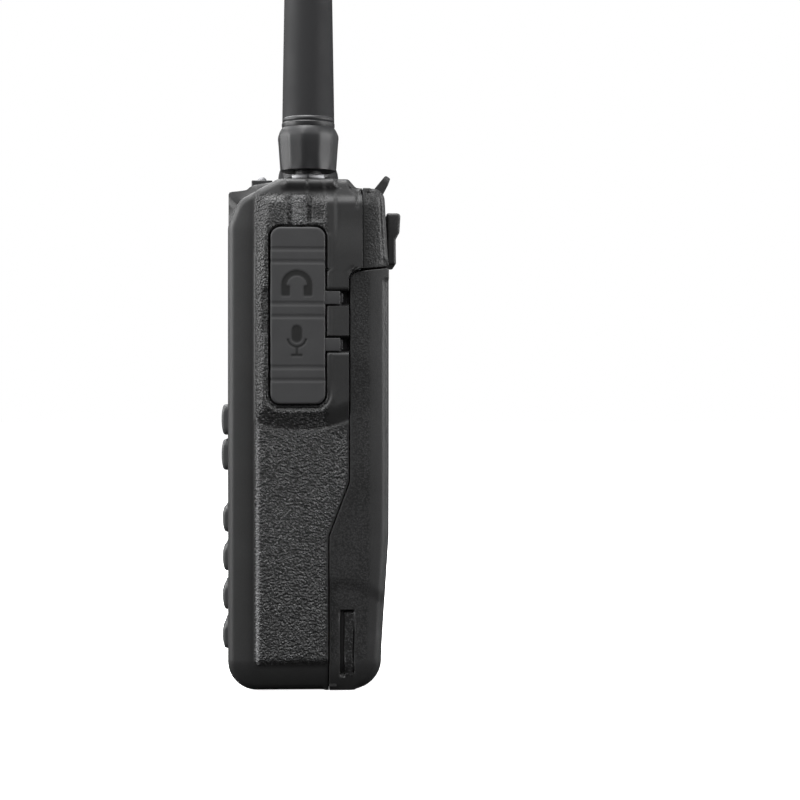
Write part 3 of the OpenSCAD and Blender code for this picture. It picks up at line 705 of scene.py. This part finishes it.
def frontShape(verts):
    x, y, z = verts[..., 0], verts[..., 1].copy(), verts[..., 2].copy()
    middle = 1 - ramp(np.abs(x), 21.6, 22.3)
    # the front panel stands up square in the middle, while the sides round over
    edge = right[chain[0], chain[1], 1:]
    last = np.argmax((edge[:, 1] > 130) & (edge[:, 0] > -8.0))
    first = np.argmax((edge[:, 1] > 110) & (edge[:, 0] < -15))
    part = slice(first, last + 1)
    lengths = lengthsAlong(edge[part])
    target = pathAlong(squareTop, lengths / lengths[-1])
    y[part] += middle[part] * (target[:, :1] - edge[part, :1])
    z[part] += middle[part] * (target[:, 1:] - edge[part, 1:])
    onFace = (y < shell["frontY"] + 0.02) & (z > 8) & (z < 124)
    y = np.where(onFace, y + frontDepth(x, z), y)
    return np.stack([x, y, z], axis=2)


stripVerts, stripFaces = acrossStrip(left, right, chain, frontShape, 130)
rims = []
for side in (left, right):
    edge = side[:deckRow + 1, -1]
    inner = edge * np.array([0.9, 1, 1])
    rims.append((np.concatenate([edge, inner]), gridFaces(2, len(edge)), 0.0))
# closes the gap under the parting line
sill = boxPart((-25.3, shell["partLow"] - 0.7, 0.03), (25.3, shell["partLow"] - 0.06, 4.5), 0.02)
housing = join("housingShell", [
    sill,
    (right.reshape(-1, 3), gridFaces(rowCount, columnCount), rightGrain.reshape(-1)),
    (left.reshape(-1, 3), gridFaces(rowCount, columnCount), leftGrain.reshape(-1)),
    (stripVerts, stripFaces, 0.0),
    *rims])
place(housing, "housing", "housing_plastic", materials["housing_plastic"], "front_housing")
print("housing shell", len(housing.data.polygons))


def batteryPanel(side, y, z):
    x = np.full(y.shape, shell["gripX"] - 0.1)
    x = x - 2.75 * clip01((8.0 - z) / 8.0) ** 1.5
    # flat of the side ends in a soft long edge before the back
    edge = 15.6 - 1.2 * clip01((30 - z) / 30)
    x = x - 1.3 * clip01((y - edge) / 5.4) ** 1.6
    rim = edgeDistance(batteryOutline, y, z)
    x = x - 0.3 * bump(rim, 1.1, 0.25) * ramp(y, 17.0, 17.6) * ramp(z, 12, 16) * (1 - ramp(z, 105.5, 106.5))
    low = 1 - ramp(z + 0.035 * (y - 8) ** 2, 26.0, 30.0)
    x = x - 0.55 * low
    guide = roundRect(y - 9.8, z - 12.5, 3.6, 17.0, 0.4)
    cut = 1.3 * (1 - ramp(guide, -0.25, 0.2))
    rib = roundRect(y - 10.25, z - 12.2, 2.4, 16.4, 0.3)
    x = x - cut + 1.15 * (1 - ramp(rib, -0.15, 0.15)) * (guide < 0.2)
    grain = 0.5 * (1 - ramp(y, edge - 0.6, edge + 0.6)) * ramp(z, 7, 9)
    # a grain above 1 along the battery's front edge paints a highlight line into the colour
    seamHighlight = bump(y, shell["partLow"] + 0.5, 0.22) * ramp(z, 5, 7) * (1 - ramp(z, 34, 37))
    grain = np.where(guide > 0.2, grain + 0.8 * seamHighlight, 0.9 * (rib < 0))
    return x, grain


def batteryFillet(y, z):
    atPart = 1 - ramp(y, 11.6, 12.6)
    return 2.0 - 1.8 * np.maximum(atPart, ramp(z, 105.8, 106.4))


def wholeShell(name, outline, height, fillet, step, shape, steps):
    # both sides of a shell and the strip all the way round between them
    knobSide, knobGrain = sideSkin(outline, height, 1, step, fillet)
    talkSide, talkGrain = sideSkin(outline, height, -1, step, fillet)
    rows, columns = knobSide.shape[:2]
    verts, faces = acrossStrip(talkSide, knobSide, edgeChain(rows, columns), shape, steps)
    return join(name, [(knobSide.reshape(-1, 3), gridFaces(rows, columns), knobGrain.reshape(-1)),
                       (talkSide.reshape(-1, 3), gridFaces(rows, columns), talkGrain.reshape(-1)),
                       (verts, faces, 0.25)])


batteryBack = {
    "labelZ": 66, "labelW": 40, "labelH": 56, "gripLowZ": 26, "gripLines": 5, "gripPitch": 2.4, "gripW": 26,
    "contactX": 9, "contactZ": 20,
}


def backShape(verts):
    x, y, z = verts[..., 0], verts[..., 1].copy(), verts[..., 2]
    onBack = y > 17.5
    # the front is sunk behind the battery's own cover
    inPlate = ramp(z, 3.2, 3.6) * (1 - ramp(z, 104.2, 104.6)) * (1 - ramp(np.abs(x), 26.4, 26.8))
    y = y + 0.8 * inPlate * (y < 10.7)
    # shallow panel for a label, left blank, and grip lines at the foot
    plate = roundRect(x, z - batteryBack["labelZ"], batteryBack["labelW"], batteryBack["labelH"], 3)
    y = y - onBack * 0.35 * (1 - ramp(plate, -0.4, 0.2))
    for i in range(batteryBack["gripLines"]):
        line = roundRect(x, z - batteryBack["gripLowZ"] - i * batteryBack["gripPitch"],
                         batteryBack["gripW"], 1.1, 0.5)
        y = y - onBack * 0.35 * (1 - ramp(line, -0.3, 0.3))
    for cx in (-batteryBack["contactX"], batteryBack["contactX"]):
        y = y - onBack * 0.5 * (1 - ramp(np.hypot(x - cx, z - batteryBack["contactZ"]), 2.1, 2.7))
    return np.stack([x, y, z], axis=2)


battery = wholeShell("batteryShell", batteryOutline, batteryPanel, batteryFillet, 0.5, backShape, 90)
place(battery, "battery", "battery_plastic", materials["battery_plastic"], "battery_case")


def rearPanel(side, y, z):
    x = np.full(y.shape, shell["gripX"] - 0.15) - 1.3 * clip01((y - 15.2) / 4.8) ** 1.6
    x = x - 0.9 * slope(z, 125.0, 130.0)
    rim = edgeDistance(rearOutline, y, z)
    x = x - 0.28 * bump(rim, 1.3, 0.25) * np.maximum(ramp(y, 17.6, 18.4), ramp(z, 125.5, 126.5))
    return x, 0.25 * np.ones(y.shape)


rearBack = {"clipX": 17, "clipZ": 119, "screwX": 23, "screwZ": 112.5, "latchBedZ": 116}


def rearShape(verts):
    # bed for the latch, belt clip holes and screw heads
    x, y, z = verts[..., 0], verts[..., 1].copy(), verts[..., 2]
    onBack = y > 17.0
    y = y - onBack * 0.5 * (1 - ramp(roundRect(x, z - rearBack["latchBedZ"], 20, 16, 1.0), -0.2, 0.3))
    for side in (-1, 1):
        clipHole = np.hypot(x - side * rearBack["clipX"], z - rearBack["clipZ"])
        y = y - onBack * 3.0 * (1 - ramp(clipHole, 1.1, 1.5))
    for side in (-1, 1):
        screwHead = np.hypot(x - side * rearBack["screwX"], z - rearBack["screwZ"])
        y = y - onBack * 1.3 * (1 - ramp(screwHead, 2.0, 2.4))
    return np.stack([x, y, z], axis=2)


def rearFillet(y, z):
    return 1.7 - 1.55 * np.maximum(1 - ramp(y, 15.5, 16.0), 1 - ramp(z, 111.4, 111.9))


rear = wholeShell("rearShell", rearOutline, rearPanel, rearFillet, 0.45, rearShape, 120)
place(rear, "housing", "housing_plastic", materials["housing_plastic"], "rear_cover")
print("battery and rear shells")


def pad(side, centre, size, radius, out, depth, height, step=0.28, outline=None):
    # a height field over a rounded outline, with a wall down behind it; side +1 and -1 are the body's
    # sides and 0 is its front
    w, h = size
    edgeRound = 0.55

    def fromEdge(u, v):
        return outline(u, v) if outline else roundRect(u, v, w, h, radius)

    u, v = np.meshgrid(spread(-w / 2, w / 2, step, 1.2, 5), spread(-h / 2, h / 2, step, 1.2, 5))
    nudge = 0.001
    for _ in range(3):
        # pull the corners in to the rounded outline
        push = np.maximum(fromEdge(u, v), 0)
        slopeU = (fromEdge(u + nudge, v) - fromEdge(u - nudge, v)) / (2 * nudge)
        slopeV = (fromEdge(u, v + nudge) - fromEdge(u, v - nudge)) / (2 * nudge)
        u, v = u - slopeU * push, v - slopeV * push
    into = np.maximum(edgeRound + np.minimum(fromEdge(u, v), 0), 0)
    lift = out + height(u, v) - (edgeRound - np.sqrt(np.maximum(edgeRound ** 2 - into ** 2, 0)))
    top = np.stack([u + centre[0], v + centre[1], lift], axis=2)
    rows, columns = u.shape
    rowPlaces, columnPlaces = edgeChain(rows, columns)
    edge = top[rowPlaces[:-1], columnPlaces[:-1]]
    foot = edge.copy()
    foot[:, 2] = out - depth
    turned = []
    for verts, faces in ((top.reshape(-1, 3), gridFaces(rows, columns)),
                         (np.concatenate([edge, foot]), gridFaces(2, len(edge), wrap=True))):
        a, b, c = verts[:, 0], verts[:, 1], verts[:, 2]
        verts = np.stack([side * c, a, b], axis=1) if side else np.stack([a, -c, b], axis=1)
        turned.append((verts, faces, 0.0))
    return turned


def flapMarks(u, v):
    # 1 inside the headphone and microphone marks of the jack cover, 0 outside
    u = u - flap["markY"]
    up = v - (flap["headphoneZ"] - flap["z"])
    band = np.where(up > -0.8, np.abs(np.hypot(u, up + 0.8) - 3.3) - 0.72, 9)
    cups = roundRect(np.abs(u) - 2.85, up + 2.1, 2.3, 2.7, 0.4)
    up = v - (flap["microphoneZ"] - flap["z"])
    head = capsule(u, up, (0, 0.8), (0, 2.6), 1.35)
    cradle = np.where(up < 0.6, np.abs(np.hypot(u, up - 0.7) - 2.3) - 0.26, 9)
    stem = roundRect(u, up + 2.6, 0.55, 2.0, 0.1)
    foot = roundRect(u, up + 3.8, 2.8, 0.55, 0.1)
    return 1 - ramp(np.minimum.reduce([band, cups, head, cradle, stem, foot]), -0.12, 0.16)


def flapHeight(u, v):
    # grooves, sunk marks and a slight crown
    h = 0.12 * (1 - (u / 7.2) ** 2)
    for band in (15.4, 1.4, -14.9):
        for offset in (1.65, -1.65):
            h = h - 0.13 * (1 - ramp(np.abs(v - band - offset), 0.32, 0.62))
    return h - 0.12 * flapMarks(u, v)


cover = pad(1, (flap["y"], flap["z"]), (flap["w"], flap["h"]), flap["r"], flap["x"], flap["depth"],
            flapHeight, 0.26)
coverTop, coverFaces, _ = cover[0]
cover[0] = (coverTop, coverFaces, flapMarks(coverTop[:, 1] - flap["y"], coverTop[:, 2] - flap["z"]))
place(join("jackFlap", cover), "jack_flap", "cover_rubber", materials["cover_rubber"], "jack_cover")
straps = []
for sz in flap["strapZ"]:
    for xs, ys, h, bevel in ((flap["strapX"], flap["strapY"], flap["strapH"], 0.25),
                             (flap["lugX"], flap["lugY"], flap["lugH"], 0.1)):
        straps.append(boxPart((xs[0], ys[0], sz - h / 2), (xs[1], ys[1], sz + h / 2), bevel))
place(join("jackStraps", straps), "jack_flap", "cover_rubber", materials["strap_rubber"])


def pttHeight(u, v):
    h = 0.25 * (1 - (u / 7.8) ** 2) * (1 - (v / 13.5) ** 2)
    for row in (2.0, -3.1, -8.4):
        for column in (-4.3, 0, 4.3):
            d = np.hypot(u - column, v - row)
            h = h + 0.4 * np.sqrt(clip01(1 - (d / 1.35) ** 2)) - 0.14 * bump(d, 1.6, 0.3)
    # three plain bars over the dots
    for column in (-4.5, 0, 4.5):
        h = h - 0.2 * (1 - ramp(roundRect(u - column, v - 7.2, 3.0, 1.0, 0.4), -0.12, 0.2))
    return h


talkPad = pad(-1, (ptt["y"], ptt["z"]), (ptt["w"], ptt["h"]), ptt["r"], ptt["x"], ptt["depth"],
              pttHeight, outline=pttOutline)
place(join("talkPad", talkPad), "ptt", "key_rubber", materials["key_rubber"], "ptt_button")


def barHeight(bars):
    def height(u, v):
        h = 0.18 * (1 - (u / 6.8) ** 2) * (1 - (v / 4.9) ** 2)
        for i in range(bars):
            d = roundRect(u, v - (i - (bars - 1) / 2) * 3.4, 6.8, 2.0, 0.5)
            h = h + 0.14 * (1 - ramp(d, -0.25, 0.1)) - 0.2 * bump(d, 0.15, 0.28)
        return h
    return height


for label, kz, bars in (("upper", sideKeys["z"][0], 1), ("lower", sideKeys["z"][1], 2)):
    sidePad = pad(-1, (sideKeys["y"], kz), (sideKeys["w"], sideKeys["h"]), sideKeys["r"], sideKeys["x"],
                  sideKeys["depth"], barHeight(bars), 0.3)
    place(join(label + "SidePad", sidePad), "side_" + label, "key_rubber", materials["key_rubber"],
          "side_key_" + label)
print("side controls")

# front keys with plain marks
numberKeys = ["1", "2", "3", "4", "5", "6", "7", "8", "9", "star", "0", "hash"]
signs = {"star": "*", "hash": "#"}
legendPaint = plain("legendPaint", (0.62, 0.63, 0.64), 0.6, depth=0.002, vary=0.05)


def everyKey():
    # each front key's node name, sign, row and column from the middle
    for i in range(3 * len(keys["rows"])):
        row, column = divmod(i, 3)
        if row < keys["menuRows"]:
            yield f"menu_key_{i + 1}", "", row, column - 1
        else:
            label = numberKeys[i - 3 * keys["menuRows"]]
            yield f"number_key_{label}", signs.get(label, label), row, column - 1


def keyCrown(h):
    # a cap h tall that falls away to its edges
    def height(u, v):
        return -0.35 * (u / (keys["width"] / 2)) ** 2 - 0.6 * np.abs(v / (h / 2)) ** 2.5
    return height


def legendMesh(text, size):
    curve = bpy.data.curves.new("legend", "FONT")
    curve.body, curve.size, curve.align_x, curve.align_y = text, size * mm, "CENTER", "CENTER"
    curve.extrude, curve.resolution_u = 0.03 * mm, 4
    holder = bpy.data.objects.new("legend", curve)
    scene.collection.objects.link(holder)
    mesh = bpy.data.meshes.new_from_object(holder.evaluated_get(bpy.context.evaluated_depsgraph_get()))
    bpy.data.objects.remove(holder)
    return mesh


for name, sign, row, column in everyKey():
    h = keyHeight(row)
    proud = keys["menuProud"] if row < keys["menuRows"] else keys["proud"]
    middle = (column * keys["pitch"], keys["rows"][row])
    cap = pad(0, middle, (keys["width"], h), keys["r"], proud - shell["frontY"], proud + keys["below"],
              keyCrown(h), 0.5)
    place(join(name + "Cap", cap), name + "_body", "key_rubber", materials["key_rubber"], name)
    if sign:
        mark = bpy.data.objects.new(name + "Mark", legendMesh(sign, 4.6))
        spot = Vector((middle[0], shell["frontY"] - proud + 0.02, middle[1])) * mm
        mark.data.transform(Matrix.Translation(spot) @ Matrix.Rotation(math.pi / 2, 4, "X"))
        scene.collection.objects.link(mark)
        place(mark, name + "_body", "key_rubber", legendPaint)
print("front keys")

controls = {"volume": (20.0, -0.2), "channel": (1.0, -0.2), "antenna": (-18.5, -0.2)}
knob = {"flats": 12, "gripLow": 134.6, "gripHigh": 145.4, "top": 148.3}


def knobWave(r, z, angle):
    # soft flats round the grip
    z = np.array(z)
    share = float(ramp(z, knob["gripLow"], knob["gripLow"] + 0.8)
                  * (1 - ramp(z, knob["gripHigh"] - 2.0, knob["gripHigh"]))) * (r > 4)
    wedge = math.pi / knob["flats"]
    turned = (angle + 0.17) % (2 * wedge) - wedge
    flat = np.minimum(1.0, math.cos(wedge) / np.cos(turned) * 1.012)
    return r * (1 - share * (1 - flat))


knobProfile = [(3.05, 134.6), (6.9, 134.5), (7.25, 134.7), (7.4, 135.4), (7.55, 137.4), (7.7, 139.6),
               (7.85, 141.6), (8.0, 143.2), (7.9, 143.9), (7.5, 144.8), (7.1, 145.5), (6.8, 145.9),
               (6.9, 146.3), (6.9, 147), (6.6, 147.25), (6.5, 147.4), (6.65, 147.7), (6.6, 148.2),
               (6.2, 148.55), (5.4, 148.6), (5.0, 148.4), (0.01, knob["top"])]
collarProfile = [(6.4, 131.4), (6.4, 131.9), (6.1, 132.3), (5.5, 132.4), (5.3, 132.2), (5.3, 131.6)]
for label in ("volume", "channel"):
    x, y = controls[label]
    grip = lathe(knobProfile, (x, y), 144, knobWave)
    place(join(label + "Grip", [grip]), label, "knob_plastic", materials["knob_plastic"], label + "_knob")
    pointer = boxPart((x - 0.35, y - 6.2, knob["top"]), (x + 0.35, y - 2.6, knob["top"] + 0.28), 0.08)
    place(join(label + "Line", [pointer]), label, "knob_plastic", legendPaint)
    collar = lathe(collarProfile, (x, y), 72)
    place(join(label + "Collar", [collar]), "housing", "housing_plastic", materials["housing_plastic"])

antenna = {"low": 160, "lowR": 7.2, "high": 279, "highR": 5.2, "tip": 3.0}
antennaProfile = [(3.3, 132.7), (8.0, 132.7), (8.3, 133.0), (8.4, 133.5), (8.4, 137.4), (8.25, 138.4),
                  (7.9, 139.5), (7.65, 140.4), (7.55, 142), (7.45, 146), (7.3, 153),
                  (antenna["lowR"], antenna["low"])]
for z in range(antenna["low"] + 10, antenna["high"], 10):
    share = (z - antenna["low"]) / (antenna["high"] - antenna["low"])
    antennaProfile.append((antenna["lowR"] - (antenna["lowR"] - antenna["highR"]) * share, z))
for a in np.linspace(0.05, math.pi / 2, 8):
    r = antenna["highR"] * math.cos(a) ** 0.8 if a < 1.5 else 0.01
    antennaProfile.append((r, antenna["high"] + antenna["tip"] * math.sin(a)))
whip = join("whip", [lathe(antennaProfile, controls["antenna"], 72)])
place(whip, "antenna_whip", "antenna_rubber", materials["antenna_rubber"], "antenna")

# the block at the front of the deck that holds the indicator light
lampBlock = join("lampBlock", [boxPart((9, -15.1, 124), (16, -9.6, 132.8), 0.35)])
place(lampBlock, "housing", "housing_plastic", materials["knob_plastic"])

latchPad = {"halfWidth": 9.0, "lineLowZ": 120.2, "linePitch": 1.2, "lines": 4, "lineHalfWidth": 7.5}
latchOutline = filletOutline([(20.75, 111.0, 0), (23.3, 111.0, 0.7), (23.25, 113, 0), (23.2, 118, 0.6),
                              (24.2, 119.8, 0.6), (24.5, 125.0, 0.9), (20.75, 125.0, 0.4)])


def latchPanel(side, y, z):
    return np.full(y.shape, latchPad["halfWidth"]), np.zeros(y.shape)


def latchFillet(y, z):
    return np.full(y.shape, 0.7)


def latchShape(verts):
    # grip lines across the pad
    x, y, z = verts[..., 0], verts[..., 1].copy(), verts[..., 2]
    for i in range(latchPad["lines"]):
        line = bump(z, latchPad["lineLowZ"] + i * latchPad["linePitch"], 0.35)
        y = y - (y > 22.6) * 0.3 * line * (np.abs(x) < latchPad["lineHalfWidth"])
    return np.stack([x, y, z], axis=2)


latch = wholeShell("latchPad", latchOutline, latchPanel, latchFillet, 0.3, latchShape, 40)
place(latch, "latch", "housing_plastic", materials["housing_plastic"], "battery_latch")
print("knobs, antenna and latch")

# CAD nodes that stay get softened edges and their own finish
# the nuts' steel is made dark, which paints in the shade of the gap under the knobs
shadeDarkSteel = plain("shadeDarkSteel", (0.09, 0.09, 0.093), 0.36, 0.8, 3000, 0.006, 0.1)
softened = ("strap_loop", "shaft_nuts", "chassis", "case_screws", "battery_cover")
for name, node in nodes.items():
    node.data.materials.clear()
    node.data.materials.append(shadeDarkSteel if name == "shaft_nuts" else materials[slotOf[name]])
    if name in softened:
        weld = node.modifiers.new("weld", "WELD")
        weld.merge_threshold = 0.01 * mm
        soften = node.modifiers.new("soften", "BEVEL")
        soften.width, soften.segments, soften.limit_method = 0.3 * mm, 3, "ANGLE"
        soften.angle_limit = math.radians(40)
print("nodes dressed")
